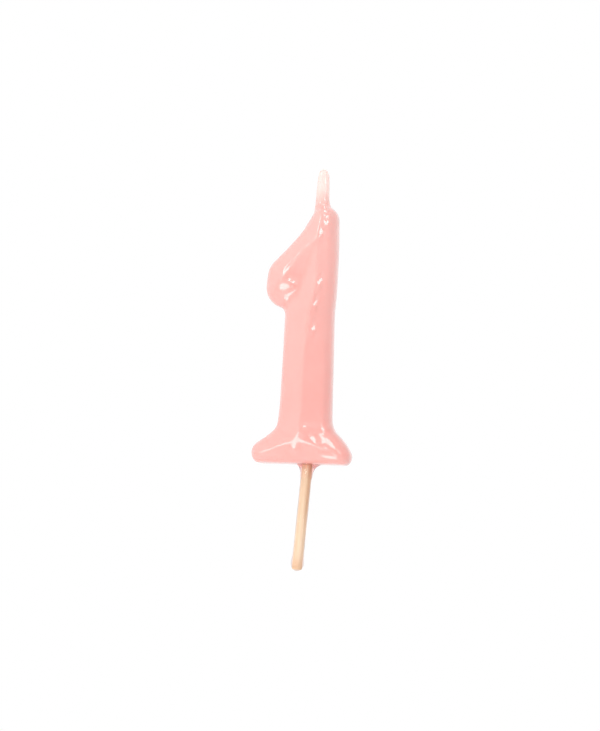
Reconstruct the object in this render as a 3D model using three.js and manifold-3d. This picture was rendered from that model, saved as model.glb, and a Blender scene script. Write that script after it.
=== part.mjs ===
// A birthday candle in the shape of the numeral one, on a wooden pick.
//
// A pale wax casting has been strung on a braided cotton wick, pinned on a pick and dipped whole
// in pink lacquer. The lacquer forms a skin on the numeral, a sleeve on the wick, a collar under
// the foot, a glaze down the pick and a drop at the pick's end.
//
// Millimetres, +Z up. The numeral faces -Y and its mirror image faces +Y. The origin is the point
// where the pick's axis meets the flat underside, the plane that rests on the icing.

import * as THREE from "three";
import Module from "manifold-3d";
import { ConvexGeometry } from "three/addons/geometries/ConvexGeometry.js";
import { mergeVertices } from "three/addons/utils/BufferGeometryUtils.js";

const wasm = await Module();
wasm.setup();

// ---------------------------------------------------------------- driving dimensions

// The numeral is drawn with chisel strokes: a full, rounded edge all round, and a roof on each
// face that climbs at one slope from that edge to a ridge along the middle of the stroke.
const EDGE_THICKNESS = 6.4; // front to back, where the roof would end on the stroke's outline
const ROOF_SLOPE = THREE.MathUtils.degToRad(28);
const ROUND_SIDES = 40; // sides of the circles at each station of a stroke

// The edge's section from the middle plane to the foot of the roof, as [distance outside the
// stroke's outline, distance from the middle plane, lean of the surface in degrees].
const EDGE_SECTION = [
  [0.5, 0, 0],
  [0.32, 1.9, 20],
  [-0.75, 3.6, 47],
];

const COAT = 0.4; // thickness of the lacquer skin on the numeral
const FIT = 0.1; // clearance kept between neighbouring solids
const SKIM = 0.05; // clearance kept between the thin layers on the pick

const WICK_X = 0.6;
const WICK_TOP = 68.9;
const WICK_BOTTOM = 19;
const WICK_BORE = 0.75; // radius
const PLY_COUNT = 3;
const PLY_RADIUS = 0.2;
const BRAID_HALF_WIDTH = 0.45; // sideways swing of each ply's centreline
const BRAID_HALF_DEPTH = 0.27; // front-to-back swing, twice in each turn
const BRAID_PITCH = 5;
const BRAID_STEPS = 12; // steps in each pitch
const PLY_SIDES = 6;

// The sleeve's rings, as [x, height, radius] from the crown upwards.
const SLEEVE_RINGS = [
  [0.95, 58.2, 2.3],
  [0.85, 59, 2.12],
  [0.75, 59.7, 1.96],
  [0.65, 60.5, 1.79],
  [0.6, 61.4, 1.67],
  [0.6, 63, 1.6],
  [0.6, 65.3, 1.5],
  [0.6, 66.9, 1.38],
  [0.6, 67.8, 1.3],
  [0.6, 68.4, 1.1],
];
const SLEEVE_SIDES = 28;

const PICK_TILT = 3.2; // degrees; the point leans towards -X
const PICK_TWIST = -13; // degrees about the pick's own axis
const PICK_WIDTH = 2.05;
const PICK_CORNER = 0.75;
const PICK_DOWN = 24.1; // length below the foot
const PICK_UP = 17.5; // length held in the wax
const PICK_SOCKET = 1.25; // radius

const GLAZE_RADIUS = 1.32;
const COLLAR_LENGTH = 3.2;
const COLLAR_LIP = 1.36; // radius at the collar's lower end
const COLLAR_FLARE = 1.7; // extra radius where it meets the foot
const COLLAR_FLARE_HEIGHT = 0.85;
const BEAD_LENGTH = 4.6;
const BEAD_RADIUS = 1.55;
const BEAD_BELOW_PICK = 0.7; // lacquer that hangs below the end of the wood
const LATHE_SIDES = 36;

// ---------------------------------------------------------------- colours and finishes

const finish = (color, roughness) =>
  new THREE.MeshStandardMaterial({ color, roughness, metalness: 0, flatShading: true });

const FINISH = {
  wax: finish(0xf7dcd4, 0.6),
  lacquer: finish(0xf6beb7, 0.12),
  sleeve: finish(0xf8ddd3, 0.3),
  collar: finish(0xef9f95, 0.08),
  glaze: finish(0xfbe6d8, 0.06),
  cotton: finish(0xf6efe2, 0.9),
  wood: finish(0xf2d2a6, 0.55),
};

// ---------------------------------------------------------------- solids and meshes

// A closed geometry as a solid that can be joined and cut.
function solidOf(geometry) {
  const bare = geometry.clone();
  bare.deleteAttribute("normal");
  bare.deleteAttribute("uv");
  const merged = mergeVertices(bare, 1e-4);
  return new wasm.Manifold(
    new wasm.Mesh({
      numProp: 3,
      vertProperties: merged.attributes.position.array,
      triVerts: new Uint32Array(merged.index.array),
    }),
  );
}

// A solid's surface as a geometry.
function geometryOf(solid) {
  const mesh = solid.getMesh();
  const geometry = new THREE.BufferGeometry();
  geometry.setAttribute("position", new THREE.BufferAttribute(mesh.vertProperties, 3));
  geometry.setIndex(new THREE.BufferAttribute(mesh.triVerts, 1));
  geometry.computeVertexNormals();
  return geometry;
}

const join = (solids) => solids.reduce((whole, next) => whole.add(next));

function named(name, geometry, material) {
  const mesh = new THREE.Mesh(geometry, material);
  mesh.name = name;
  return mesh;
}

// A solid of revolution about the Z axis, from [radius, height] pairs that run upwards on the
// outside and, where the piece is bored, back down on the inside.
function turned(profile) {
  const points = profile.map(([radius, height]) => new THREE.Vector2(radius, height));
  return new THREE.LatheGeometry(points, LATHE_SIDES).rotateX(Math.PI / 2);
}

// A plain round bar along Z, for cutting bores.
function bar(radius, bottom, top) {
  return turned([
    [0, bottom],
    [radius, bottom],
    [radius, top],
    [0, top],
  ]);
}

// ---------------------------------------------------------------- the numeral

// A station is the centre and half-width of a stroke, how far its ridge lies to one side of the
// centre, and how steep its roof is. The foot's stations all stand on the plane z = 0.
const station = (x, z, halfWidth, ridge = 0, slope = Math.tan(ROOF_SLOPE)) =>
  ({ x, z, halfWidth, ridge, slope });
const foot = (x, halfWidth) => station(x, halfWidth, halfWidth);

const MIDFOOT = foot(-1.95, 5.3);
const FORK = station(0.3, 51.6, 4.1, 0.5);
const CROWN = station(1.63, 57.05, 2.57);

const STROKES = [
  // the stem, up from the foot to where the flag forks from it
  [
    MIDFOOT,
    station(-0.9, 6.9, 6.3),
    station(-1.05, 9, 5.8),
    station(-0.95, 13, 5.6),
    station(-1, 24, 5.4, 0.15),
    station(-1.1, 35.5, 5.25, 1.2),
    station(-0.35, 39, 4.7, 1),
    station(0.6, 43.5, 3.85, 0.6),
    FORK,
  ],
  // the crown, above the fork
  [FORK, CROWN],
  // the end of the stem's ridge, which runs on down the front of the foot
  [MIDFOOT, station(-2.1, 3, 3, 0, 0.75)],
  // the flag, down from the fork to its blunt end
  [
    FORK,
    station(-3.1, 47.7, 4),
    station(-6.6, 43.5, 4.35),
    station(-6.8, 40.9, 4.35),
    station(-5.6, 41.45, 4.35),
  ],
  // the foot, one long toe to the left and a shorter one to the right
  [foot(-10.4, 2.35), foot(-8, 3.1), MIDFOOT, foot(3.4, 4.1), foot(5.9, 3), foot(7.8, 1.95)],
];

// The corners of the solid that one station stands for: a thick disc with a rounded edge, with
// the peak of the roof over its centre at the front and at the back. inset draws every face in.
function stationCorners({ x, z, halfWidth, ridge, slope }, inset) {
  const peak = EDGE_THICKNESS / 2 + halfWidth * slope - inset / Math.cos(ROOF_SLOPE);
  const corners = [];
  for (const side of [-1, 1]) {
    corners.push(new THREE.Vector3(x + ridge, side * peak, z));
    for (const [out, depth, lean] of EDGE_SECTION) {
      const angle = THREE.MathUtils.degToRad(lean);
      const radius = halfWidth + out - inset * Math.cos(angle);
      const y = side * (depth - inset * Math.sin(angle));
      for (let i = 0; i < ROUND_SIDES; i++) {
        const turn = (2 * Math.PI * i) / ROUND_SIDES;
        corners.push(new THREE.Vector3(x + radius * Math.cos(turn), y, z + radius * Math.sin(turn)));
      }
    }
  }
  return corners;
}

// The whole numeral, drawn in by inset: each pair of neighbouring stations is wrapped in its
// convex hull, the hulls are joined, and the underside is cut flat.
function numeral(inset) {
  const spans = STROKES.flatMap((stations) =>
    stations.slice(1).map((end, i) => [
      ...stationCorners(stations[i], inset),
      ...stationCorners(end, inset),
    ]),
  );
  return join(spans.map((corners) => solidOf(new ConvexGeometry(corners)))).trimByPlane([0, 0, 1], inset);
}

// ---------------------------------------------------------------- the wick

// One ply of a flat three-ply braid: a slow swing sideways and a swing front to back at twice
// the rate, a third of a turn behind its neighbour.
class PlyPath extends THREE.Curve {
  constructor(turnOffset) {
    super();
    this.turnOffset = turnOffset;
  }

  getPoint(t, target = new THREE.Vector3()) {
    const height = (WICK_TOP - WICK_BOTTOM) * t;
    const turn = 2 * Math.PI * (height / BRAID_PITCH + this.turnOffset);
    return target.set(
      WICK_X + BRAID_HALF_WIDTH * Math.sin(turn),
      BRAID_HALF_DEPTH * Math.sin(2 * turn),
      WICK_BOTTOM + height,
    );
  }

  // Even steps in height keep the plies in step with each other.
  getPointAt(u, target) {
    return this.getPoint(u, target);
  }

  getTangentAt(u, target) {
    return this.getTangent(u, target);
  }
}

function wickPly(index) {
  const section = new THREE.Shape(
    Array.from({ length: PLY_SIDES }, (_, i) => {
      const angle = (2 * Math.PI * i) / PLY_SIDES;
      return new THREE.Vector2(PLY_RADIUS * Math.cos(angle), PLY_RADIUS * Math.sin(angle));
    }),
  );
  return new THREE.ExtrudeGeometry(section, {
    steps: Math.round(((WICK_TOP - WICK_BOTTOM) / BRAID_PITCH) * BRAID_STEPS),
    extrudePath: new PlyPath(index / PLY_COUNT),
    bevelEnabled: false,
  });
}

const wickBore = () => solidOf(bar(WICK_BORE, WICK_BOTTOM - FIT, WICK_TOP)).translate(WICK_X, 0, 0);

// The sleeve of wax and lacquer round the bare wick, which flares where it meets the crown.
function wickSleeve() {
  const rings = SLEEVE_RINGS.map(([x, z, radius]) =>
    Array.from({ length: SLEEVE_SIDES }, (_, i) => {
      const angle = (2 * Math.PI * i) / SLEEVE_SIDES;
      return new THREE.Vector3(x + radius * Math.cos(angle), radius * Math.sin(angle), z);
    }),
  );
  const spans = rings.slice(1).map((ring, i) => solidOf(new ConvexGeometry([...rings[i], ...ring])));
  return join(spans).subtract(wickBore()).subtract(numeral(-FIT));
}

// ---------------------------------------------------------------- the pick and its lacquer

// A square with rounded corners, as a closed outline.
function roundedSquare(outline, width, corner) {
  const flat = width / 2 - corner;
  outline.absarc(flat, flat, corner, 0, Math.PI / 2);
  outline.absarc(-flat, flat, corner, Math.PI / 2, Math.PI);
  outline.absarc(-flat, -flat, corner, Math.PI, 1.5 * Math.PI);
  outline.absarc(flat, -flat, corner, 1.5 * Math.PI, 2 * Math.PI);
  outline.closePath();
  return outline;
}

function wood() {
  const section = roundedSquare(new THREE.Shape(), PICK_WIDTH, PICK_CORNER);
  const bevel = 0.15;
  return new THREE.ExtrudeGeometry(section, {
    depth: PICK_DOWN + PICK_UP - 2 * bevel,
    bevelEnabled: true,
    bevelThickness: bevel,
    bevelSize: bevel,
    bevelOffset: -bevel,
    bevelSegments: 1,
    curveSegments: 6,
  }).translate(0, 0, bevel - PICK_DOWN);
}

// The thin glaze between the collar and the drop.
function glaze() {
  const section = new THREE.Shape().absarc(0, 0, GLAZE_RADIUS, 0, 2 * Math.PI);
  section.holes.push(roundedSquare(new THREE.Path(), PICK_WIDTH + 2 * SKIM, PICK_CORNER + SKIM));
  const bottom = BEAD_LENGTH - BEAD_BELOW_PICK - PICK_DOWN + SKIM;
  return new THREE.ExtrudeGeometry(section, {
    depth: -COLLAR_LENGTH - SKIM - bottom,
    bevelEnabled: false,
    curveSegments: 9,
  }).translate(0, 0, bottom);
}

// Lacquer that gathered in the corner between the foot and the pick, drawn up to a little above
// the underside for cutting back to it.
function collar() {
  const bore = PICK_SOCKET - SKIM;
  const top = 0.5;
  const outside = [];
  const steps = 10;
  for (let i = 0; i <= steps; i++) {
    const below = COLLAR_LENGTH * (1 - i / steps) ** 1.5;
    outside.push([COLLAR_LIP + COLLAR_FLARE * Math.exp(-below / COLLAR_FLARE_HEIGHT), -below]);
  }
  outside.push([COLLAR_LIP + COLLAR_FLARE, top]);
  return turned([[bore, -COLLAR_LENGTH], ...outside, [bore, top], [bore, -COLLAR_LENGTH]]);
}

// The drop that set at the end of the pick, a cup that holds the last of the wood.
function bead() {
  const bottom = -PICK_DOWN - BEAD_BELOW_PICK;
  const belly = BEAD_RADIUS * 1.1; // height of the widest point
  const outside = [[0, bottom]];
  for (let i = 1; i <= 6; i++) {
    const angle = (Math.PI / 2) * (i / 6);
    outside.push([BEAD_RADIUS * Math.sin(angle), bottom + belly * (1 - Math.cos(angle))]);
  }
  for (let i = 1; i <= 5; i++) {
    const share = THREE.MathUtils.smoothstep(i / 5, 0, 1);
    outside.push([
      THREE.MathUtils.lerp(BEAD_RADIUS, GLAZE_RADIUS, share),
      THREE.MathUtils.lerp(bottom + belly, bottom + BEAD_LENGTH, i / 5),
    ]);
  }
  const bore = PICK_SOCKET - SKIM;
  return turned([...outside, [bore, bottom + BEAD_LENGTH], [bore, -PICK_DOWN - SKIM], [0, -PICK_DOWN - SKIM]]);
}

// Places a solid drawn about the Z axis on the leaning pick.
const leaning = (solid) => solid.rotate(0, PICK_TILT, 0);

const pickSocket = () => leaning(solidOf(bar(PICK_SOCKET, -PICK_DOWN, PICK_UP + FIT)));

// ---------------------------------------------------------------- assembly

// The casting: the numeral drawn in by the thickness of its coat, bored for the wick and pick.
const waxCore = () => numeral(COAT + FIT).subtract(wickBore()).subtract(pickSocket());

// The skin of lacquer, open where the wick and the pick pass through it.
const glossCoat = () => numeral(0).subtract(numeral(COAT)).subtract(wickBore()).subtract(pickSocket());

const candle = new THREE.Group();
candle.add(named("wax_core", geometryOf(waxCore()), FINISH.wax));
candle.add(named("gloss_coat", geometryOf(glossCoat()), FINISH.lacquer));
candle.add(named("wick_sleeve", geometryOf(wickSleeve()), FINISH.sleeve));
for (let i = 0; i < PLY_COUNT; i++) {
  candle.add(named(`wick_ply_${i + 1}`, wickPly(i), FINISH.cotton));
}

const collarSolid = leaning(solidOf(collar())).subtract(numeral(-FIT));
candle.add(named("pick_collar", geometryOf(collarSolid), FINISH.collar));

const onPick = new THREE.Group();
onPick.rotation.y = THREE.MathUtils.degToRad(PICK_TILT);
const twist = THREE.MathUtils.degToRad(PICK_TWIST);
onPick.add(named("pick", wood().rotateZ(twist), FINISH.wood));
onPick.add(named("pick_glaze", glaze().rotateZ(twist), FINISH.glaze));
onPick.add(named("pick_bead", bead(), FINISH.glaze));
candle.add(onPick);

export default candle;
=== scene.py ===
"""The looks of a numeral birthday candle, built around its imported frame.

A wax numeral has been dipped in pink lacquer. The dip is one liquid, so it is poured here as one
smooth skin over the numeral and up the wick, as a pink collar where the pick leaves the foot, and as
a clear film with a drop at its end down the pick. All lengths are in metres and +Z is up.
"""

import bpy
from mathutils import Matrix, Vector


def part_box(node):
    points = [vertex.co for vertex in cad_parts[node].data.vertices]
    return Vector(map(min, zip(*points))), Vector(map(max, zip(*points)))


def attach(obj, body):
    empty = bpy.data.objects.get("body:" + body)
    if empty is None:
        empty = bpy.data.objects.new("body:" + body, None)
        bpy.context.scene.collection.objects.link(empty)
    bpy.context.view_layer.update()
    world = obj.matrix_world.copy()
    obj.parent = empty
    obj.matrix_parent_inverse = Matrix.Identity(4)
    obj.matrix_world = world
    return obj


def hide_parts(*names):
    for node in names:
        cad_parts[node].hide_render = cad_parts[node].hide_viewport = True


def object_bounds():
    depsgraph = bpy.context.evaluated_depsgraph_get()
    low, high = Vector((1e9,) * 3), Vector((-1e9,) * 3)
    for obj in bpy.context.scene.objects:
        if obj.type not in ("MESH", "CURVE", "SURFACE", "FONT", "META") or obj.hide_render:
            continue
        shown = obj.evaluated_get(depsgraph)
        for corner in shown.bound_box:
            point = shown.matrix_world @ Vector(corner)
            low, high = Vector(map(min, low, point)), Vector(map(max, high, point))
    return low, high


bl_info = {
    "name": "Numeral Birthday Candle",
    "version": (1, 0, 0),
    "blender": (4, 5, 0),
    "location": "3D View > Sidebar > Candle",
    "description": "Pours the lacquer, braids the wick, grains the pick and sets the studio",
    "category": "Object",
}

import math
import random

import bmesh
import bpy
from bpy.props import FloatProperty, FloatVectorProperty, IntProperty, PointerProperty
from mathutils import Matrix, Quaternion, Vector, noise
from mathutils.bvhtree import BVHTree

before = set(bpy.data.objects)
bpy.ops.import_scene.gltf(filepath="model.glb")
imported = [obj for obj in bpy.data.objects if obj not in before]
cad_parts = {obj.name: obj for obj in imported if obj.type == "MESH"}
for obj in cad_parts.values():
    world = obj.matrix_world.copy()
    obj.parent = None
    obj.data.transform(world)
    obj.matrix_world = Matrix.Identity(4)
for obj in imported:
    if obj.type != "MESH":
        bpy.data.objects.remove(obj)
CAD_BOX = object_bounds()

MM = 0.001
BODY = "root"
OVERLAP = 0.06 * MM  # how far the lacquer on the pick reaches into the wood


# ------------------------------------------------------------------ settings


def colour(name, description, default):
    return FloatVectorProperty(
        name=name, description=description, default=default, size=3, min=0.0, max=1.0, subtype="COLOR"
    )


def length(name, description, default):
    return FloatProperty(
        name=name, description=description, default=default, subtype="DISTANCE", unit="LENGTH"
    )


def angle(name, description, degrees):
    return FloatProperty(name=name, description=description, default=math.radians(degrees), subtype="ANGLE")


def count(name, description, default):
    return IntProperty(name=name, description=description, default=default)


class CandleForm(bpy.types.PropertyGroup):
    """Sizes of the poured and braided shapes"""

    grid: length("Grid", "Size of the voxels that the lacquer is poured on", 0.28 * MM)
    seal: length("Seal", "Hairline joints up to twice this wide are closed", 0.3 * MM)
    fillet_passes: count("Fillets", "Passes that fill the inside corners", 50)
    flow_passes: count("Flow", "Passes that soften every edge", 26)
    flag_passes: count("Flag flow", "Further passes on the flag's dome", 22)
    rim_passes: count("Rim flow", "Further passes round the outline", 16)
    ripple: length("Ripple", "Height of the slow ripples in the lacquer", 0.03 * MM)
    ripple_size: length("Ripple size", "Distance between the slow ripples", 5.5 * MM)
    flat_limit: length("Flat limit", "How far a flat may move the skin", 0.3 * MM)
    braid_print: length("Braid print", "How far the braid shows through its sleeve", 0.03 * MM)
    pick_tilt: angle("Pick lean", "Lean of the pick towards -X", 3.2)
    pick_twist: angle("Pick twist", "Turn of the pick about its axis", -13)
    pick_width: length("Pick width", "Width of the wood across its flats", 2.05 * MM)
    film_radius: length("Film radius", "Outer radius of the clear film on the pick", 1.32 * MM)
    ply_radius: length("Ply radius", "Radius of one ply of the wick", 0.2 * MM)
    braid_pitch: length("Braid pitch", "Height of one turn of the wick's braid", 5 * MM)


class CandleColours(bpy.types.PropertyGroup):
    """Linear colours of the finishes"""

    lacquer_thin: colour("Thin lacquer", "Lacquer on the ridges", (0.8, 0.385, 0.348))
    # Deep lacquer: thick lacquer's own deeper pink, and also painted shade, since the thick places lie
    # mostly in the creases.
    lacquer_pooled_and_shaded: colour("Deep lacquer", "Lacquer pooled in the creases", (0.78, 0.295, 0.25))
    # Paler lacquer colour that the numeral turns towards near its top.
    lacquer_high: colour("High lacquer", "Lacquer that drained thin near the top", (0.83, 0.46, 0.42))
    wick_wax: colour("Wick wax", "Waxed top of the wick", (0.88, 0.66, 0.61))
    wax: colour("Wax", "Body of the candle", (0.93, 0.72, 0.66))
    cotton: colour("Cotton", "Plies of the wick", (0.99, 0.93, 0.88))
    wood_pale: colour("Pale wood", "Early wood of the pick", (0.8, 0.62, 0.45))
    wood_dark: colour("Dark wood", "Late wood of the pick", (0.73, 0.49, 0.28))
    # Brown for the stripe down the pick's right side, which is partly painted shade, and for the darker
    # end.
    wood_streak_shade_and_end: colour("Streak", "Brown streak along the pick", (0.62, 0.33, 0.16))
    collar: colour("Collar", "Pooled lacquer under the foot", (0.95, 0.42, 0.36))
    film: colour("Film", "Clear lacquer on the pick", (0.9, 0.5, 0.42))


class CandleStage(bpy.types.PropertyGroup):
    """Camera and studio"""

    azimuth: angle("Azimuth", "Camera to the right of the front", 14)
    elevation: angle("Elevation", "Camera above the horizon", -7)
    roll: angle("Roll", "Camera turned about its own axis", 2.8)
    distance: length("Distance", "From the camera to the candle", 469.5 * MM)
    lens: FloatProperty(name="Lens", description="Focal length in millimetres", default=100.0)
    floor_drop: length("Floor drop", "Floor below the end of the pick", 110 * MM)


# What the camera looks at, and the soft boxes round it: bearing to the right of the front and
# above the horizon in degrees, distance and size in metres, and radiance.
AIM = Vector((-2.92, 0, 22.82)) * MM
LAMPS = {
    "Left bank": (-66, 15, 0.9, (0.9, 1.2), 0.25),
    "Tall window": (30, 39, 0.8, (0.13, 0.14), 7.5),
    "Ridge lamp": (48, 27, 0.8, (0.17, 0.19), 7.5),
    "Left lamp": (-34, 35, 0.8, (0.16, 0.16), 7.5),
    "Low card": (-14, -27, 0.2, (0.11, 0.07), 5.0),
    "Top lamp": (26, 75, 0.8, (0.2, 0.2), 7.5),
}


def bearing(azimuth, elevation):
    """Direction out from the candle; azimuth 0 is the front and grows to the right."""
    level = math.cos(elevation)
    return Vector((math.sin(azimuth) * level, -math.cos(azimuth) * level, math.sin(elevation)))


def camera_place(stage):
    return AIM + bearing(stage.azimuth, stage.elevation) * stage.distance


def lamp_place(name):
    azimuth, elevation, distance = LAMPS[name][:3]
    return AIM + bearing(math.radians(azimuth), math.radians(elevation)) * distance


# ------------------------------------------------------------------ mesh helpers


def cad_copy(*nodes):
    """CAD nodes as one bmesh with their loose triangles joined up."""
    bm = bmesh.new()
    for node in nodes:
        bm.from_mesh(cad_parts[node].data)
    bmesh.ops.remove_doubles(bm, verts=bm.verts, dist=0.001 * MM)
    return bm


def as_object(name, bm, material, smooth=True):
    """Turns a bmesh into a piece that rides with the candle."""
    bmesh.ops.recalc_face_normals(bm, faces=bm.faces)
    mesh = bpy.data.meshes.new(name)
    bm.to_mesh(mesh)
    bm.free()
    mesh.polygons.foreach_set("use_smooth", [smooth] * len(mesh.polygons))
    mesh.materials.append(material)
    piece = bpy.data.objects.new(name, mesh)
    bpy.context.scene.collection.objects.link(piece)
    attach(piece, BODY)
    return piece


def smooth_step(value, low, high):
    share = min(max((value - low) / (high - low), 0.0), 1.0)
    return share * share * (3 - 2 * share)


def revoxel(bm, size):
    """The outer surface of a bmesh, made again on an even grid."""
    mesh = bpy.data.meshes.new("casting")
    bm.to_mesh(mesh)
    bm.free()
    scratch = bpy.data.objects.new("casting", mesh)
    bpy.context.scene.collection.objects.link(scratch)
    remesh = scratch.modifiers.new("Grid", "REMESH")
    remesh.mode = "VOXEL"
    remesh.voxel_size = size
    evaluated = scratch.evaluated_get(bpy.context.evaluated_depsgraph_get())
    fresh = bmesh.new()
    fresh.from_mesh(evaluated.to_mesh())
    evaluated.to_mesh_clear()
    bpy.data.objects.remove(scratch)
    bpy.data.meshes.remove(mesh)
    return keep_largest_island(fresh)


def keep_largest_island(bm):
    """Drops every closed surface but the one with the most faces."""
    unseen = set(bm.faces)
    islands = []
    while unseen:
        island = {unseen.pop()}
        edge_of = list(island)
        while edge_of:
            near = {f for e in edge_of.pop().edges for f in e.link_faces} - island
            island |= near
            edge_of.extend(near)
        unseen -= island
        islands.append(island)
    largest = max(islands, key=len)
    rest = [f for island in islands if island is not largest for f in island]
    bmesh.ops.delete(bm, geom=rest, context="FACES")
    return bm


def swell(bm, distance):
    """Moves every point out along its normal."""
    bm.normal_update()
    for vert in bm.verts:
        vert.co += vert.normal * distance


def relax(bm, passes, verts=None):
    """Draws every point half way to the middle of its neighbours, that many times."""
    for _ in range(passes):
        bmesh.ops.smooth_vert(
            bm, verts=verts or bm.verts, factor=0.5, use_axis_x=True, use_axis_y=True, use_axis_z=True
        )


def soften(bm, passes, chosen=lambda vert: True):
    """Rounds the edges but keeps the thickness: what the smoothing takes away is smoothed in its
    turn, and given back."""
    before = [vert.co.copy() for vert in bm.verts]
    picked = [vert.index for vert in bm.verts if chosen(vert)]
    bm.verts.ensure_lookup_table()
    relax(bm, passes, [bm.verts[i] for i in picked])
    taken = bm.copy()
    taken.verts.ensure_lookup_table()
    for vert, old in zip(taken.verts, before):
        vert.co = old - vert.co
    relax(taken, passes, [taken.verts[i] for i in picked])
    for vert, given in zip(bm.verts, taken.verts):
        vert.co += given.co
    taken.free()


def fill_corners(bm, passes):
    """Leaves a fillet in every inside corner: the points relax, but only outwards, and a move too
    small to be part of a corner is cut short."""
    least_move = 0.0015 * MM
    for _ in range(passes):
        bm.normal_update()
        before = [(vert.co.copy(), vert.normal.copy()) for vert in bm.verts]
        relax(bm, 1)
        for vert, (old, normal) in zip(bm.verts, before):
            vert.co = old + normal * max((vert.co - old).dot(normal) - least_move, 0.0)


# ------------------------------------------------------------------ material helpers


def nodes_of(name):
    material = bpy.data.materials.new(name)
    material.use_nodes = True
    tree = material.node_tree
    return material, tree, tree.nodes["Principled BSDF"]


def put(tree, kind, **inputs):
    """Adds a node and sets its named sockets: a value is set, and a socket is linked."""
    node = tree.nodes.new(kind)
    for key, value in inputs.items():
        fill(tree, node.inputs[key.replace("_", " ")], value)
    return node


def fill(tree, socket, value):
    if isinstance(value, bpy.types.NodeSocket):
        tree.links.new(value, socket)
    elif isinstance(value, (tuple, list)) and socket.type == "RGBA" and len(value) == 3:
        socket.default_value = (*value, 1.0)
    else:
        socket.default_value = value


def maths(tree, operation, a, b=0.0):
    node = tree.nodes.new("ShaderNodeMath")
    node.operation = operation
    fill(tree, node.inputs[0], a)
    fill(tree, node.inputs[1], b)
    return node.outputs[0]


def remap(tree, value, low, high, to_low=0.0, to_high=1.0):
    node = tree.nodes.new("ShaderNodeMapRange")
    node.interpolation_type = "SMOOTHSTEP"
    sockets = ("Value", "From Min", "From Max", "To Min", "To Max")
    for key, given in zip(sockets, (value, low, high, to_low, to_high)):
        fill(tree, node.inputs[key], given)
    return node.outputs["Result"]


def blend(tree, factor, first, second, mode="MIX"):
    node = tree.nodes.new("ShaderNodeMix")
    node.data_type = "RGBA"
    node.blend_type = mode
    fill(tree, node.inputs["Factor"], factor)
    fill(tree, node.inputs[6], first)
    fill(tree, node.inputs[7], second)
    return node.outputs[2]


def noise_on(tree, vector, size, detail=2.0, roughness=0.5):
    """Noise with features of about that size, in metres."""
    scale = 1.0 / size
    node = put(tree, "ShaderNodeTexNoise", Vector=vector, Scale=scale, Detail=detail, Roughness=roughness)
    return node.outputs["Fac"]


def group_tree(name, inputs, outputs):
    """An empty shader group with named sockets."""
    tree = bpy.data.node_groups.new(name, "ShaderNodeTree")
    for label, kind, default in inputs:
        socket = tree.interface.new_socket(name=label, in_out="INPUT", socket_type=kind)
        if default is not None:
            socket.default_value = default
    for label, kind in outputs:
        tree.interface.new_socket(name=label, in_out="OUTPUT", socket_type=kind)
    return tree, tree.nodes.new("NodeGroupInput"), tree.nodes.new("NodeGroupOutput")


def ripple_group():
    """Height of set lacquer: slow sags, with a faint orange peel on them."""
    name = "Dip ripple"
    if name in bpy.data.node_groups:
        return bpy.data.node_groups[name]
    tree, given, result = group_tree(
        name,
        [
            ("Vector", "NodeSocketVector", None),
            ("Sag Size", "NodeSocketFloat", 0.004),
            ("Peel Size", "NodeSocketFloat", 0.0008),
            ("Peel", "NodeSocketFloat", 0.15),
        ],
        [("Height", "NodeSocketFloat")],
    )
    heights = []
    for label, detail in (("Sag Size", 1.0), ("Peel Size", 2.0)):
        scale = maths(tree, "DIVIDE", 1.0, given.outputs[label])
        node = put(tree, "ShaderNodeTexNoise", Vector=given.outputs["Vector"], Scale=scale, Detail=detail)
        heights.append(node.outputs["Fac"])
    peel = maths(tree, "MULTIPLY", heights[1], given.outputs["Peel"])
    fill(tree, result.inputs["Height"], maths(tree, "ADD", heights[0], peel))
    return tree


def mottle_group():
    """Slow, soft change between two colours."""
    name = "Mottle"
    if name in bpy.data.node_groups:
        return bpy.data.node_groups[name]
    tree, given, result = group_tree(
        name,
        [
            ("Vector", "NodeSocketVector", None),
            ("Size", "NodeSocketFloat", 0.006),
            ("First", "NodeSocketColor", None),
            ("Second", "NodeSocketColor", None),
        ],
        [("Color", "NodeSocketColor"), ("Mask", "NodeSocketFloat")],
    )
    scale = maths(tree, "DIVIDE", 1.0, given.outputs["Size"])
    node = put(tree, "ShaderNodeTexNoise", Vector=given.outputs["Vector"], Scale=scale, Detail=3.0)
    mask = remap(tree, node.outputs["Fac"], 0.32, 0.68)
    fill(tree, result.inputs["Mask"], mask)
    fill(tree, result.inputs["Color"], blend(tree, mask, given.outputs["First"], given.outputs["Second"]))
    return tree


def fibre_group():
    """Fine streaks that run along local Z, for wood and cotton."""
    name = "Fibre"
    if name in bpy.data.node_groups:
        return bpy.data.node_groups[name]
    tree, given, result = group_tree(
        name,
        [
            ("Vector", "NodeSocketVector", None),
            ("Width", "NodeSocketFloat", 0.0002),
            ("Stretch", "NodeSocketFloat", 30.0),
        ],
        [("Mask", "NodeSocketFloat"), ("Height", "NodeSocketFloat")],
    )
    across = maths(tree, "DIVIDE", 1.0, given.outputs["Width"])
    along = maths(tree, "DIVIDE", across, given.outputs["Stretch"])
    scale = put(tree, "ShaderNodeCombineXYZ", X=across, Y=across, Z=along)
    stretched = tree.nodes.new("ShaderNodeVectorMath")
    stretched.operation = "MULTIPLY"
    fill(tree, stretched.inputs[0], given.outputs["Vector"])
    fill(tree, stretched.inputs[1], scale.outputs["Vector"])
    broad = put(tree, "ShaderNodeTexNoise", Vector=stretched.outputs["Vector"], Scale=1.0, Detail=3.0)
    fine = put(tree, "ShaderNodeTexNoise", Vector=stretched.outputs["Vector"], Scale=2.7, Detail=2.0)
    fill(tree, result.inputs["Mask"], remap(tree, broad.outputs["Fac"], 0.35, 0.65))
    fill(tree, result.inputs["Height"], maths(tree, "ADD", broad.outputs["Fac"], fine.outputs["Fac"]))
    return tree


def use_group(tree, group, **inputs):
    node = tree.nodes.new("ShaderNodeGroup")
    node.node_tree = group
    for key, value in inputs.items():
        fill(tree, node.inputs[key.replace("_", " ")], value)
    return node


def object_coordinates(tree):
    return tree.nodes.new("ShaderNodeTexCoord").outputs["Object"]


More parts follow.
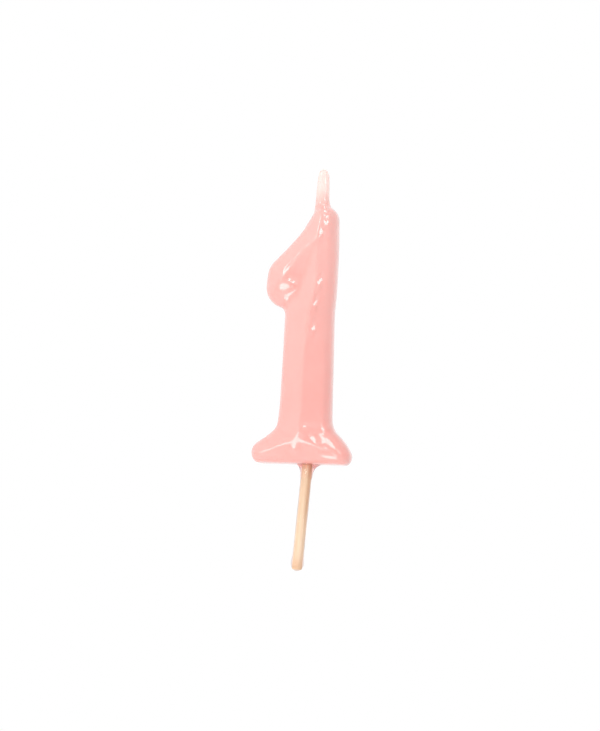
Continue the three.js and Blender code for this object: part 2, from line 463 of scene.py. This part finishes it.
def pick_coordinates(tree, form):
    """Object coordinates turned so that their Z runs up the leaning pick."""
    mapping = tree.nodes.new("ShaderNodeMapping")
    mapping.vector_type = "TEXTURE"
    fill(tree, mapping.inputs["Vector"], object_coordinates(tree))
    mapping.inputs["Rotation"].default_value = (0.0, form.pick_tilt, 0.0)
    return mapping.outputs["Vector"]


def bump(tree, shader, height, strength, distance):
    node = put(tree, "ShaderNodeBump", Strength=strength, Distance=distance, Height=height)
    fill(tree, shader.inputs["Normal"], node.outputs["Normal"])


# ------------------------------------------------------------------ materials


def lacquer_material(form, colours):
    """Pink dip: deeper where the lacquer lies thick, which in the creases is partly painted shade, paler
    towards the top, and paler still where it thins out up the wick.
    """
    material, tree, shader = nodes_of("Pink lacquer")
    where = object_coordinates(tree)
    depth = tree.nodes.new("ShaderNodeAttribute")
    depth.attribute_name = "lacquer_depth"
    # Deeper pink where the skin lies further from the wax: thick lacquer, and painted shade in the creases.
    pooled_and_shaded = blend(tree, depth.outputs["Fac"], tuple(colours.lacquer_thin), tuple(colours.lacquer_pooled_and_shaded))
    white, blush = (1.0, 1.0, 1.0), (0.985, 0.955, 0.95)
    mottled = use_group(tree, mottle_group(), Vector=where, Size=7 * MM, First=white, Second=blush)
    pink = blend(tree, 1.0, pooled_and_shaded, mottled.outputs["Color"], "MULTIPLY")
    height = put(tree, "ShaderNodeSeparateXYZ", Vector=where).outputs["Z"]
    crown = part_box("gloss_coat")[1].z
    # Paler towards the top of the numeral, more so with height.
    top_paling = remap(tree, height, 8 * MM, crown, 0.0, 0.55)
    drained = blend(tree, top_paling, pink, tuple(colours.lacquer_high))
    up_wick = remap(tree, height, crown - 1.5 * MM, crown + 5 * MM)
    fill(tree, shader.inputs["Base Color"], blend(tree, up_wick, drained, tuple(colours.wick_wax)))
    uneven = noise_on(tree, where, 1.5 * MM)
    fill(tree, shader.inputs["Roughness"], remap(tree, uneven, 0.3, 0.7, 0.28, 0.36))
    glossy = remap(tree, height, crown + 1 * MM, crown + 7 * MM, 1.0, 0.55)
    fill(tree, shader.inputs["Coat Weight"], glossy)
    shader.inputs["Coat Roughness"].default_value = 0.035
    shader.inputs["Coat IOR"].default_value = 1.5
    shader.inputs["Subsurface Weight"].default_value = 0.35
    shader.inputs["Subsurface Radius"].default_value = (1.0, 0.42, 0.36)
    shader.inputs["Subsurface Scale"].default_value = 1.2 * MM
    skin = use_group(tree, ripple_group(), Vector=where, Sag_Size=3.2 * MM, Peel_Size=0.7 * MM, Peel=0.03)
    bump(tree, shader, skin.outputs["Height"], 0.2, 0.05 * MM)
    return material


def wax_material(colours):
    """Cloudy, satin wax, a little paler where it set slowly."""
    material, tree, shader = nodes_of("Pale wax")
    where = object_coordinates(tree)
    wax, pale = tuple(colours.wax), (0.96, 0.78, 0.72)
    cloudy = use_group(tree, mottle_group(), Vector=where, Size=5 * MM, First=wax, Second=pale)
    fill(tree, shader.inputs["Base Color"], cloudy.outputs["Color"])
    fill(tree, shader.inputs["Roughness"], remap(tree, cloudy.outputs["Mask"], 0.0, 1.0, 0.45, 0.6))
    shader.inputs["Subsurface Weight"].default_value = 0.4
    shader.inputs["Subsurface Radius"].default_value = (1.0, 0.6, 0.5)
    shader.inputs["Subsurface Scale"].default_value = 2 * MM
    bump(tree, shader, noise_on(tree, where, 0.8 * MM), 0.3, 0.05 * MM)
    return material


def cotton_material(colours):
    """Bleached yarn that has soaked up wax, with fibres along it."""
    material, tree, shader = nodes_of("Waxed cotton")
    where = object_coordinates(tree)
    fibres = use_group(tree, fibre_group(), Vector=where, Width=0.05 * MM, Stretch=12.0)
    pale = tuple(colours.cotton)
    shade = tuple(0.92 * c for c in pale)
    fill(tree, shader.inputs["Base Color"], blend(tree, fibres.outputs["Mask"], shade, pale))
    fill(tree, shader.inputs["Roughness"], remap(tree, fibres.outputs["Mask"], 0.0, 1.0, 0.85, 0.7))
    shader.inputs["Sheen Weight"].default_value = 0.3
    bump(tree, shader, fibres.outputs["Height"], 0.3, 0.01 * MM)
    return material


def wood_material(form, colours):
    """Straight birch grain, with a brown stripe down its right side that is partly painted shade, and a
    darker end.
    """
    material, tree, shader = nodes_of("Birch")
    where = pick_coordinates(tree, form)
    grain = use_group(tree, fibre_group(), Vector=where, Width=0.28 * MM, Stretch=45.0)
    late = maths(tree, "MULTIPLY", grain.outputs["Mask"], 0.45)
    toned = blend(tree, late, tuple(colours.wood_pale), tuple(colours.wood_dark))
    place = put(tree, "ShaderNodeSeparateXYZ", Vector=where)
    # The brown stripe lies on the right side only: partly a real stripe in the wood, partly painted shade
    # on that side.
    side = remap(tree, place.outputs["X"], 0.25 * MM, 0.85 * MM)
    reach = remap(tree, place.outputs["Z"], -17 * MM, -9 * MM)
    streak_and_shade = maths(tree, "MULTIPLY", maths(tree, "MULTIPLY", side, reach), 0.55)
    end = remap(tree, place.outputs["Z"], -21 * MM, -24 * MM, 0.0, 0.5)
    toned = blend(tree, maths(tree, "MAXIMUM", streak_and_shade, end), toned, tuple(colours.wood_streak_shade_and_end))
    fill(tree, shader.inputs["Base Color"], toned)
    fill(tree, shader.inputs["Roughness"], remap(tree, grain.outputs["Mask"], 0.0, 1.0, 0.5, 0.62))
    bump(tree, shader, grain.outputs["Height"], 0.4, 0.04 * MM)
    return material


def clear_material(name, form, tint, absorption, density, body):
    """Set lacquer that light goes through, tinted by how much of it there is. A low IOR and a part
    alpha keep the light from being trapped over the wood, and the coat gives it its shine."""
    material, tree, shader = nodes_of(name)
    shader.inputs["Alpha"].default_value = body
    shader.inputs["Base Color"].default_value = (*tint, 1.0)
    shader.inputs["Transmission Weight"].default_value = 1.0
    shader.inputs["IOR"].default_value = 1.15
    shader.inputs["Coat Weight"].default_value = 1.0
    shader.inputs["Coat Roughness"].default_value = 0.03
    where = pick_coordinates(tree, form)
    film = use_group(tree, ripple_group(), Vector=where, Sag_Size=2.4 * MM, Peel_Size=0.6 * MM, Peel=0.1)
    fill(tree, shader.inputs["Roughness"], remap(tree, film.outputs["Height"], 0.3, 0.8, 0.015, 0.05))
    bump(tree, shader, film.outputs["Height"], 0.3, 0.05 * MM)
    volume = tree.nodes.new("ShaderNodeVolumeAbsorption")
    volume.inputs["Color"].default_value = (*absorption, 1.0)
    volume.inputs["Density"].default_value = density
    tree.links.new(volume.outputs["Volume"], tree.nodes["Material Output"].inputs["Volume"])
    return material


def studio_material(name, shade):
    """Matt, near-white paint with a very slight unevenness."""
    material, tree, shader = nodes_of(name)
    where = object_coordinates(tree)
    tone = remap(tree, noise_on(tree, where, 0.3), 0.0, 1.0, shade - 0.01, shade + 0.01)
    combine = put(tree, "ShaderNodeCombineColor", Red=tone, Green=tone, Blue=tone)
    fill(tree, shader.inputs["Base Color"], combine.outputs["Color"])
    shader.inputs["Roughness"].default_value = 0.9
    return material


# ------------------------------------------------------------------ operators for the pieces


# Flats on the front: centre x and z, half width and half height in millimetres, the lean to the
# right in degrees, and the lamp that each one catches. They run down the stem's ridge, then over the
# flag, then over the foot.
SET_FLATS = (
    (2.6, 55.5, 0.6, 0.9, 40, "Ridge lamp"),
    (1.6, 53.1, 0.5, 1.6, 10, "Ridge lamp"),
    (2.0, 41.8, 0.52, 1.6, 12, "Ridge lamp"),
    (1.3, 36.7, 0.52, 1.5, 10, "Ridge lamp"),
    (1.1, 30.8, 0.52, 1.5, 8, "Ridge lamp"),
    (-5.9, 44.1, 0.55, 2.6, 31, "Left lamp"),
    (-6.2, 40.6, 2.4, 1.1, 0, "Low card"),
    (2.3, 5.4, 0.9, 1.7, -35, "Tall window"),
    (5.3, 4.9, 0.75, 2.6, -55, "Tall window"),
    (5.0, 3.4, 1.0, 0.65, 10, "Tall window"),
    (6.0, 1.4, 2.1, 0.65, 20, "Low card"),
)


class CANDLE_OT_lacquer_skin(bpy.types.Operator):
    """Pour the pink lacquer over the numeral and up the wick, as one skin"""

    bl_idname = "candle.lacquer_skin"
    bl_label = "Lacquer skin"

    def execute(self, context):
        form, colours = context.scene.candle_form, context.scene.candle_colours
        bm = cad_copy("wax_core", "gloss_coat", "wick_sleeve")
        self.soak_wick(bm)
        bm = revoxel(bm, form.grid)
        swell(bm, form.seal)
        bm = revoxel(bm, form.grid)
        swell(bm, -form.seal)
        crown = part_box("gloss_coat")[1].z
        self.flow(bm, form, crown)
        self.ripple(bm, form, crown)
        self.press_flats(bm, form, context.scene.candle_stage)
        soften(bm, 5)
        self.measure_depth(bm)
        piece = as_object("lacquer_skin", bm, lacquer_material(form, colours))
        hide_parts("gloss_coat", "wick_sleeve")
        return {"FINISHED"}

    def soak_wick(self, bm):
        """Fills the sleeve's bore, because the wick in it has soaked up wax."""
        low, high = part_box("wick_sleeve")
        plies = [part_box(f"wick_ply_{i + 1}") for i in range(3)]
        centre = (min(box[0].x for box in plies) + max(box[1].x for box in plies)) / 2
        root, tip, radius = 2 * MM, 0.35 * MM, 0.9 * MM
        bottom, top = low.z - root, high.z + tip
        bmesh.ops.create_cone(
            bm,
            segments=24,
            radius1=radius,
            radius2=radius,
            depth=top - bottom,
            cap_ends=True,
            matrix=Matrix.Translation((centre, 0, (top + bottom) / 2)),
        )

    def flow(self, bm, form, crown):
        """Fills the inside corners and rounds the edges: round the wick's foot, on the numeral, up
        the wick, round the outline and on the flag. The last two go in bands that narrow, so that
        no band leaves a step."""
        rim_depths = (4.8 * MM, 4.4 * MM, 4.0 * MM)
        flag_reaches = (-0.5 * MM, -1.5 * MM, -2.5 * MM)
        flag_bottom = 37 * MM
        soften(bm, 2)
        fill_corners(bm, form.fillet_passes)
        soften(bm, form.flow_passes, lambda vert: abs(vert.co.z - crown - 0.5 * MM) < 2.5 * MM)
        soften(bm, form.flow_passes, lambda vert: vert.co.z < crown + 1 * MM)
        soften(bm, form.flow_passes // 2, lambda vert: vert.co.z > crown)
        for depth in rim_depths:
            soften(bm, form.rim_passes, lambda vert: abs(vert.co.y) < depth and vert.co.z < crown)
        for reach in flag_reaches:
            soften(bm, form.flag_passes, lambda vert: vert.co.x < reach and vert.co.z > flag_bottom)

    def ripple(self, bm, form, crown):
        """Slow sags everywhere, and the braid's print in its sleeve."""
        low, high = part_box("wick_sleeve")
        axis = (low + high) / 2
        shorter = 1.3  # the sags are this much shorter across than they are down
        bm.normal_update()
        for vert in bm.verts:
            x, y, z = vert.co
            place = vert.co / form.ripple_size
            height = form.ripple * noise.noise(Vector((place.x * shorter, place.y * shorter, place.z)))
            above = smooth_step(z, crown + 1 * MM, crown + 4 * MM)
            around = math.atan2(y, x - axis.x)
            turn = 2 * math.pi * z / form.braid_pitch
            strands = math.sin(3 * around + turn) * math.sin(2 * around - turn)
            height += above * form.braid_print * strands
            vert.co += vert.normal * height

    def press_flats(self, bm, form, stage):
        """Small places where the lacquer set flat, each blended into the skin round it."""
        skin = BVHTree.FromBMesh(bm)
        in_front = -20
        for x, z, half_width, half_height, lean, lamp in SET_FLATS:
            centre = skin.ray_cast(Vector((x, in_front, z)) * MM, Vector((0, 1, 0)))[0]
            to_camera, to_lamp = camera_place(stage) - centre, lamp_place(lamp) - centre
            facing = (to_camera.normalized() + to_lamp.normalized()).normalized()
            along = Vector((math.sin(math.radians(lean)), 0, math.cos(math.radians(lean))))
            along = (along - facing * along.dot(facing)).normalized()
            across = along.cross(facing)
            for vert in bm.verts:
                offset = (vert.co - centre) / MM
                reach = (offset.dot(across) / half_width) ** 2 + (offset.dot(along) / half_height) ** 2
                if vert.co.y < 0 and reach < 9:
                    share = math.exp(-(reach**2) / 2)
                    height = offset.dot(facing) * MM
                    vert.co -= facing * form.flat_limit * math.tanh(height / form.flat_limit) * share

    def measure_depth(self, bm):
        """How deep the lacquer lies over the wax, as an attribute from 0, thin, to 1, thick. The thick end
        also sets the painted shade in the creases.
        """
        core = cad_copy("wax_core")
        wax = BVHTree.FromBMesh(core)
        thin, deep = 0.35 * MM, 1.0 * MM
        layer = bm.verts.layers.float.new("lacquer_depth")
        for vert in bm.verts:
            distance = wax.find_nearest(vert.co)[3]
            vert[layer] = min(max((distance - thin) / (deep - thin), 0.0), 1.0)
        core.free()


class CANDLE_OT_wax_core(bpy.types.Operator):
    """Give the casting under the skin its wax"""

    bl_idname = "candle.wax_core"
    bl_label = "Wax core"

    def execute(self, context):
        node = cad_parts["wax_core"]
        node.data.materials.clear()
        node.data.materials.append(wax_material(context.scene.candle_colours))
        return {"FINISHED"}


class CANDLE_OT_wick(bpy.types.Operator):
    """Braid the wick from three plies and fray its end"""

    bl_idname = "candle.wick"
    bl_label = "Wick"

    def execute(self, context):
        form = context.scene.candle_form
        cotton = cotton_material(context.scene.candle_colours)
        boxes = [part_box(f"wick_ply_{i + 1}") for i in range(3)]
        axis = Vector(((boxes[0][0].x + boxes[0][1].x) / 2, 0, 0))
        bottom, top = boxes[0][0].z, boxes[0][1].z
        for i in range(3):
            bm = self.ply(form, axis, bottom, top, i / 3)
            piece = as_object(f"wick_yarn_{i + 1}", bm, cotton)
            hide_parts(f"wick_ply_{i + 1}")
        fray = as_object("wick_fray", self.fray(axis, top), cotton)
        return {"FINISHED"}

    def path(self, form, axis, height, offset):
        """A flat three-ply braid: one swing sideways for two swings front to back."""
        turn = 2 * math.pi * (height / form.braid_pitch + offset)
        half_width, half_depth = 0.45 * MM, 0.27 * MM
        return axis + Vector((half_width * math.sin(turn), half_depth * math.sin(2 * turn), 0))

    def ply(self, form, axis, bottom, top, offset):
        """A twisted yarn: a lobed ring carried up the braid's path."""
        bm = bmesh.new()
        ring = bmesh.ops.create_circle(bm, segments=15, radius=form.ply_radius, cap_ends=True)["verts"]
        for vert in ring:
            lobe = 1 + 0.1 * math.cos(3 * math.atan2(vert.co.y, vert.co.x))
            vert.co *= lobe
        start = self.path(form, axis, 0, offset) + Vector((0, 0, bottom))
        bmesh.ops.translate(bm, verts=ring, vec=start)
        face = bm.faces[:][0]
        steps = 160
        twist = Matrix.Rotation(math.radians(9), 3, "Z")
        for i in range(1, steps + 1):
            here, there = (top - bottom) * (i - 1) / steps, (top - bottom) * i / steps
            swing = self.path(form, axis, there, offset) - self.path(form, axis, here, offset)
            out = bmesh.ops.extrude_face_region(bm, geom=[face], use_keep_orig=(i == 1))
            face = next(g for g in out["geom"] if isinstance(g, bmesh.types.BMFace))
            bmesh.ops.translate(bm, verts=face.verts, vec=swing + Vector((0, 0, there - here)))
            bmesh.ops.rotate(bm, verts=face.verts, cent=face.calc_center_median(), matrix=twist)
        return bm

    def fray(self, axis, top):
        """Loose fibre ends at the cut."""
        rng = random.Random(7)
        fibres, rooted, flatness = 26, 0.3 * MM, 0.6
        bm = bmesh.new()
        for _ in range(fibres):
            turn, reach = rng.uniform(0, 2 * math.pi), rng.uniform(0.1, 0.55) * MM
            base = axis + Vector((reach * math.cos(turn), flatness * reach * math.sin(turn), top - rooted))
            lean = Quaternion((math.sin(turn), -math.cos(turn), 0), rng.uniform(-0.7, 0.3))
            half = Vector((0, 0, rng.uniform(0.4, 0.75) * MM)) / 2
            bmesh.ops.create_cone(
                bm,
                segments=5,
                radius1=0.03 * MM,
                radius2=0.008 * MM,
                depth=2 * half.z,
                cap_ends=True,
                matrix=Matrix.Translation(base) @ lean.to_matrix().to_4x4() @ Matrix.Translation(half),
            )
        return bm


def on_pick(bm, form):
    """Turns a shape drawn about Z onto the leaning pick."""
    lean = Matrix.Rotation(form.pick_tilt, 3, "Y")
    bmesh.ops.rotate(bm, verts=bm.verts, cent=(0, 0, 0), matrix=lean)
    return bm


def turned(outline, steps=48):
    """A closed solid of revolution about Z from an outline of radii and heights."""
    bm = bmesh.new()
    verts = [bm.verts.new((radius, 0, height)) for radius, height in outline]
    edges = [bm.edges.new(pair) for pair in zip(verts, verts[1:] + verts[:1])]
    bmesh.ops.spin(
        bm,
        geom=verts + edges,
        cent=(0, 0, 0),
        axis=(0, 0, 1),
        angle=2 * math.pi,
        steps=steps,
        use_merge=True,
    )
    bmesh.ops.remove_doubles(bm, verts=bm.verts, dist=0.001 * MM)
    bmesh.ops.dissolve_degenerate(bm, edges=bm.edges, dist=0.0005 * MM)
    return bm


class CANDLE_OT_pick(bpy.types.Operator):
    """Cut the wooden pick"""

    bl_idname = "candle.pick"
    bl_label = "Pick"

    def execute(self, context):
        form = context.scene.candle_form
        low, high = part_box("pick")
        lean = math.cos(form.pick_tilt)
        bottom, top = low.z / lean, high.z / lean
        bm = bmesh.new()
        bmesh.ops.create_cube(bm, size=1.0)
        bmesh.ops.scale(bm, verts=bm.verts, vec=(form.pick_width, form.pick_width, top - bottom))
        bmesh.ops.translate(bm, verts=bm.verts, vec=(0, 0, (top + bottom) / 2))
        upright = [e for e in bm.edges if abs(e.verts[0].co.z - e.verts[1].co.z) > MM]
        self.round_off(bm, upright, 0.75 * MM, 6)
        rims = [e for e in bm.edges if abs(e.verts[0].co.z - e.verts[1].co.z) < 0.01 * MM]
        self.round_off(bm, rims, 0.15 * MM, 2)
        twist = Matrix.Rotation(form.pick_twist, 3, "Z")
        bmesh.ops.rotate(bm, verts=bm.verts, cent=(0, 0, 0), matrix=twist)
        wood = wood_material(form, context.scene.candle_colours)
        piece = as_object("pick_wood", on_pick(bm, form), wood)
        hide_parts("pick")
        return {"FINISHED"}

    def round_off(self, bm, edges, width, segments):
        """Rounds the chosen edges, off by that width on each side."""
        bmesh.ops.bevel(
            bm, geom=edges, offset=width, segments=segments, profile=0.5, affect="EDGES", material=-1
        )


class CANDLE_OT_collar(bpy.types.Operator):
    """Let pink lacquer gather where the pick leaves the foot"""

    bl_idname = "candle.collar"
    bl_label = "Collar"

    def execute(self, context):
        form, colours = context.scene.candle_form, context.scene.candle_colours
        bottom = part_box("pick_collar")[0].z
        bore = form.pick_width / 2 - OVERLAP
        flare, flare_height = 1.6 * MM, 0.85 * MM
        widest, into_foot = 1.75 * MM, 0.12 * MM
        steps = 14
        outline = [(bore, bottom)]
        for i in range(steps + 1):
            height = bottom * (1 - i / steps) ** 1.5
            lip = form.film_radius + 0.02 * MM
            outline.append((lip + flare * math.exp(height / flare_height), height))
        outline += [(form.film_radius + widest, into_foot), (bore, into_foot)]
        tint, absorption = (1.0, 0.86, 0.83), tuple(colours.collar)
        material = clear_material("Collar lacquer", form, tint, absorption, density=260.0, body=0.65)
        bm = turned(outline)
        bmesh.ops.scale(bm, verts=bm.verts, vec=(1.0, 0.82, 1.0))
        piece = as_object("pick_collar_pool", on_pick(bm, form), material)
        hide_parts("pick_collar")
        return {"FINISHED"}


class CANDLE_OT_film(bpy.types.Operator):
    """Run the clear film down the pick to the drop at its end"""

    bl_idname = "candle.film"
    bl_label = "Film and drop"

    def execute(self, context):
        form, colours = context.scene.candle_form, context.scene.candle_colours
        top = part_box("pick_collar")[0].z - 0.02 * MM
        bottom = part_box("pick_bead")[0].z + 0.3 * MM
        wood_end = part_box("pick")[0].z + 0.1 * MM
        radius = form.film_radius
        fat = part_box("pick_bead")[1].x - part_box("pick_bead")[0].x
        belly = fat / 2 * 0.98
        bore = form.pick_width / 2 - OVERLAP
        below, taper, steps = belly * 1.1, 3.2 * MM, 8
        outline = []
        for i in range(steps + 1):
            turn = math.pi / 2 * i / steps
            outline.append((belly * math.sin(turn), bottom + below * (1 - math.cos(turn))))
        for i in range(1, steps + 1):
            share = i / steps
            ease = smooth_step(share, 0.0, 1.0)
            outline.append((belly + (radius - belly) * ease, bottom + below + taper * share))
        outline += [(radius, top), (bore, top), (bore, wood_end), (0, wood_end)]
        tint, absorption = (1.0, 0.99, 0.98), tuple(colours.film)
        material = clear_material("Clear lacquer", form, tint, absorption, density=200.0, body=0.4)
        piece = as_object("pick_clear_dip", on_pick(turned(outline), form), material)
        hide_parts("pick_glaze", "pick_bead")
        return {"FINISHED"}


# ------------------------------------------------------------------ the stage


class CANDLE_OT_stage(bpy.types.Operator):
    """Set the camera, the pale floor and the studio light"""

    bl_idname = "candle.stage"
    bl_label = "Stage"

    def execute(self, context):
        stage = context.scene.candle_stage
        self.camera(context, stage)
        self.floor(context, stage)
        self.world(context)
        for name, (_, _, _, size, radiance) in LAMPS.items():
            self.light(context, name, size, radiance)
        context.scene.view_settings.view_transform = "Standard"
        return {"FINISHED"}

    def camera(self, context, stage):
        data = bpy.data.cameras.new("Camera")
        data.lens = stage.lens
        data.sensor_fit = "VERTICAL"
        data.sensor_height = 36.0
        data.clip_start = 0.01
        camera = bpy.data.objects.new("Camera", data)
        camera.location = camera_place(stage)
        look = (AIM - camera.location).to_track_quat("-Z", "Y")
        camera.rotation_mode = "QUATERNION"
        camera.rotation_quaternion = look @ Quaternion((0, 0, 1), stage.roll)
        context.scene.collection.objects.link(camera)
        context.scene.camera = camera

    def floor(self, context, stage):
        bm = bmesh.new()
        bmesh.ops.create_circle(bm, cap_ends=True, segments=96, radius=0.8)
        height = CAD_BOX[0][2] - stage.floor_drop
        bmesh.ops.translate(bm, verts=bm.verts, vec=(0, 0, height))
        mesh = bpy.data.meshes.new("studio_floor")
        bm.to_mesh(mesh)
        bm.free()
        mesh.materials.append(studio_material("Pale floor", 0.9))
        floor = bpy.data.objects.new("studio_floor", mesh)
        context.scene.collection.objects.link(floor)

    def world(self, context):
        """A white room. As a light it is a little dimmer than it looks, most of all on the right,
        except behind the candle."""
        world = bpy.data.worlds.new("White room")
        world.use_nodes = True
        tree = world.node_tree
        tree.nodes.clear()
        where = tree.nodes.new("ShaderNodeTexCoord").outputs["Generated"]
        place = put(tree, "ShaderNodeSeparateXYZ", Vector=where)
        front = remap(tree, place.outputs["X"], -0.7, 0.9, 0.95, 0.7)
        behind = remap(tree, place.outputs["Y"], -0.15, 0.5)
        missing = maths(tree, "SUBTRACT", 1.0, front)
        glow = maths(tree, "ADD", front, maths(tree, "MULTIPLY", behind, missing))
        lit = put(tree, "ShaderNodeBackground", Color=(1.0, 1.0, 1.0), Strength=glow)
        seen = put(tree, "ShaderNodeBackground", Color=(1.0, 1.0, 1.0), Strength=1.0)
        mix = tree.nodes.new("ShaderNodeMixShader")
        fill(tree, mix.inputs[0], tree.nodes.new("ShaderNodeLightPath").outputs["Is Camera Ray"])
        tree.links.new(lit.outputs[0], mix.inputs[1])
        tree.links.new(seen.outputs[0], mix.inputs[2])
        output = tree.nodes.new("ShaderNodeOutputWorld")
        tree.links.new(mix.outputs[0], output.inputs["Surface"])
        context.scene.world = world

    def light(self, context, name, size, radiance):
        """A soft box that faces the candle."""
        data = bpy.data.lights.new(name, "AREA")
        data.shape = "RECTANGLE"
        data.size, data.size_y = size
        data.energy = radiance * math.pi * size[0] * size[1]
        lamp = bpy.data.objects.new(name, data)
        lamp.location = lamp_place(name)
        lamp.rotation_mode = "QUATERNION"
        lamp.rotation_quaternion = (AIM - lamp.location).to_track_quat("-Z", "Y")
        lamp.visible_camera = False
        context.scene.collection.objects.link(lamp)


# ------------------------------------------------------------------ panel and registration

OPERATORS = (
    CANDLE_OT_lacquer_skin,
    CANDLE_OT_wax_core,
    CANDLE_OT_wick,
    CANDLE_OT_pick,
    CANDLE_OT_collar,
    CANDLE_OT_film,
    CANDLE_OT_stage,
)
SETTINGS = (("candle_form", CandleForm), ("candle_colours", CandleColours), ("candle_stage", CandleStage))


class CANDLE_PT_panel(bpy.types.Panel):
    """Lists the steps that dress the candle"""

    bl_idname = "CANDLE_PT_panel"
    bl_label = "Numeral Candle"
    bl_space_type = "VIEW_3D"
    bl_region_type = "UI"
    bl_category = "Candle"

    def draw(self, context):
        for operator in OPERATORS:
            self.layout.operator(operator.bl_idname)
        for name, _ in SETTINGS:
            box = self.layout.box()
            group = getattr(context.scene, name)
            for key in group.bl_rna.properties.keys():
                if key not in ("rna_type", "name"):
                    box.prop(group, key)


def register():
    for name, group in SETTINGS:
        bpy.utils.register_class(group)
        setattr(bpy.types.Scene, name, PointerProperty(type=group))
    for operator in OPERATORS:
        bpy.utils.register_class(operator)
    bpy.utils.register_class(CANDLE_PT_panel)


def unregister():
    bpy.utils.unregister_class(CANDLE_PT_panel)
    for operator in reversed(OPERATORS):
        bpy.utils.unregister_class(operator)
    for name, group in reversed(SETTINGS):
        delattr(bpy.types.Scene, name)
        bpy.utils.unregister_class(group)


def main():
    register()
    for operator in OPERATORS:
        module, name = operator.bl_idname.split(".")
        getattr(getattr(bpy.ops, module), name)()


if __name__ == "__main__":
    main()
